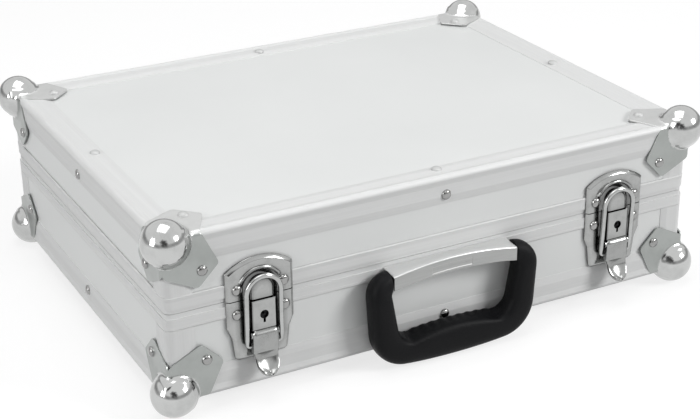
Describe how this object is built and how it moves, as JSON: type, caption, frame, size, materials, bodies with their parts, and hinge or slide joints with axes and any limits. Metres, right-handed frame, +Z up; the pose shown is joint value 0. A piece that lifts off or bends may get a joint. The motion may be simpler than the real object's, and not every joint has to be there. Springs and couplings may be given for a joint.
{
  "type": "microphone case",
  "caption": "Flat hard case for hand microphones with profile edges, ball corners, lever latches, a folding handle, rear hinges and a slotted foam insert.",
  "frame": {"origin": "middle of the bounding box at its bottom, where the lower ball corners stand", "axes": "+X along the length to the right as seen from the front, +Y from the latches to the hinges, +Z up"},
  "size_m": [0.4124, 0.3248, 0.1334],
  "materials": {
    "panel_laminate": "plywood faced with fine satin aluminium foil",
    "profile_aluminium": "satin anodised",
    "corner_steel": "bright nickel plate",
    "latch_steel": "bright nickel plate",
    "rivet_steel": "bright nickel plate",
    "bracket_steel": "satin plate",
    "handle_plastic": "fine grained",
    "hinge_steel": "satin plate",
    "pin_steel": "turned",
    "lock_core": "dull",
    "foam": "open-cell foam"
  },
  "bodies": {
    "base": {"base_back_edge": "profile_aluminium", "base_back_panel": "panel_laminate", "base_ball_corner_back_left": "corner_steel", "base_ball_corner_back_right": "corner_steel", "base_ball_corner_front_left": "corner_steel", "base_ball_corner_front_right": "corner_steel", "base_bottom_panel": "panel_laminate", "base_closing_frame": "profile_aluminium", "base_corner_posts": "profile_aluminium", "base_fitting_rivets": "rivet_steel", "base_front_edge": "profile_aluminium", "base_front_panel": "panel_laminate", "base_hinge_leaves": "hinge_steel", "base_left_edge": "profile_aluminium", "base_left_panel": "panel_laminate", "base_profile_rivets": "rivet_steel", "base_right_edge": "profile_aluminium", "base_right_panel": "panel_laminate", "foam_bay_walls": "foam", "foam_cross_walls": "foam", "foam_floor_pad": "foam", "foam_microphone_ribs": "foam", "handle_bracket": "bracket_steel", "handle_pivot_pins": "pin_steel", "hinge_pins": "pin_steel", "left_lever_pin": "pin_steel", "left_lock_housing": "latch_steel", "left_strike_plate": "latch_steel", "right_lever_pin": "pin_steel", "right_lock_housing": "latch_steel", "right_strike_plate": "latch_steel"},
    "lid": {"left_catch_plate": "latch_steel", "lid_back_edge": "profile_aluminium", "lid_back_panel": "panel_laminate", "lid_ball_corner_back_left": "corner_steel", "lid_ball_corner_back_right": "corner_steel", "lid_ball_corner_front_left": "corner_steel", "lid_ball_corner_front_right": "corner_steel", "lid_closing_frame": "profile_aluminium", "lid_corner_posts": "profile_aluminium", "lid_fitting_rivets": "rivet_steel", "lid_foam": "foam", "lid_front_edge": "profile_aluminium", "lid_front_panel": "panel_laminate", "lid_hinge_leaves": "hinge_steel", "lid_left_edge": "profile_aluminium", "lid_left_panel": "panel_laminate", "lid_profile_rivets": "rivet_steel", "lid_right_edge": "profile_aluminium", "lid_right_panel": "panel_laminate", "lid_top_panel": "panel_laminate", "right_catch_plate": "latch_steel"},
    "left_lever": {"left_latch_lever": "latch_steel"},
    "left_bail": {"left_latch_bail": "latch_steel"},
    "left_rotor": {"left_lock_rotor": "lock_core"},
    "right_lever": {"right_latch_lever": "latch_steel"},
    "right_bail": {"right_latch_bail": "latch_steel"},
    "right_rotor": {"right_lock_rotor": "lock_core"},
    "handle": {"handle_grip": "handle_plastic"}
  },
  "joints": [
    {"name": "lid_hinge", "type": "hinge", "parent": "base", "child": "lid", "pos_m": [0, 0.1546, 0.0714], "axis": [-1, 0, 0], "range_deg": [0, 100]},
    {"name": "handle_fold", "type": "hinge", "parent": "base", "child": "handle", "pos_m": [0, -0.152, 0.0624], "axis": [-1, 0, 0], "range_deg": [0, 95]},
    {"name": "left_latch_lever", "type": "hinge", "parent": "base", "child": "left_lever", "pos_m": [-0.133, -0.14945, 0.0474], "axis": [-1, 0, 0], "range_deg": [0, 85]},
    {"name": "left_latch_bail", "type": "hinge", "parent": "left_lever", "child": "left_bail", "pos_m": [-0.133, -0.14945, 0.0397], "axis": [1, 0, 0], "range_deg": [0, 108]},
    {"name": "left_lock_turn", "type": "hinge", "parent": "base", "child": "left_rotor", "pos_m": [-0.133, -0.1496, 0.061], "axis": [0, 1, 0], "range_deg": [0, 90]},
    {"name": "right_latch_lever", "type": "hinge", "parent": "base", "child": "right_lever", "pos_m": [0.133, -0.14945, 0.0474], "axis": [-1, 0, 0], "range_deg": [0, 85]},
    {"name": "right_latch_bail", "type": "hinge", "parent": "right_lever", "child": "right_bail", "pos_m": [0.133, -0.14945, 0.0397], "axis": [1, 0, 0], "range_deg": [0, 108]},
    {"name": "right_lock_turn", "type": "hinge", "parent": "base", "child": "right_rotor", "pos_m": [0.133, -0.1496, 0.061], "axis": [0, 1, 0], "range_deg": [0, 90]}
  ],
  "couplings": [
    {"joint": "left_latch_bail", "follows": "left_latch_lever", "ratio": 1.25},
    {"joint": "right_latch_bail", "follows": "right_latch_lever", "ratio": 1.25}
  ]
}
